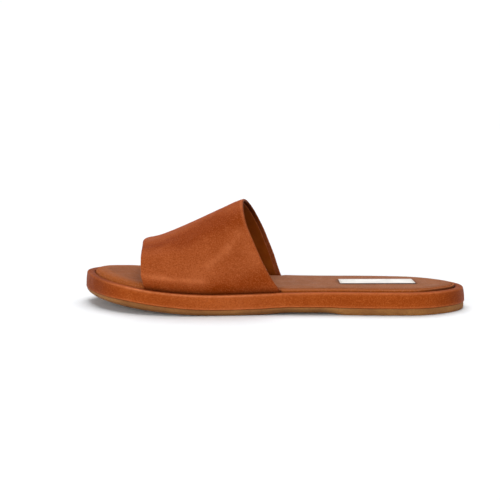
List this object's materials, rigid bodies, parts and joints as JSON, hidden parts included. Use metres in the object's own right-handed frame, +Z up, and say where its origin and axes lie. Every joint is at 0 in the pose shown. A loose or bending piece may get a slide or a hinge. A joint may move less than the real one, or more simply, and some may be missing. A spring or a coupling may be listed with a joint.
{
  "type": "slide sandal",
  "caption": "Flat leather slide sandal with one wide strap over the instep, a padded insole inside a raised rim, and a thin grooved outsole.",
  "frame": {"origin": "middle of the bounding box, on the floor that the sandal stands on", "axes": "+X along the sole to the toe, +Y across to the outer side of the foot, +Z up"},
  "size_m": [0.258, 0.0904, 0.0709],
  "materials": {
    "outsole": "matte moulded tan",
    "midsole": "satin brown leather cover",
    "insole": "matte brown leather cover",
    "upper": "satin brown leather",
    "insole_label": "plain white, blank"
  },
  "bodies": {
    "root": {"outsole": "outsole", "midsole": "midsole", "insole": "insole", "upper": "upper", "insole_label": "insole_label"}
  },
  "joints": []
}
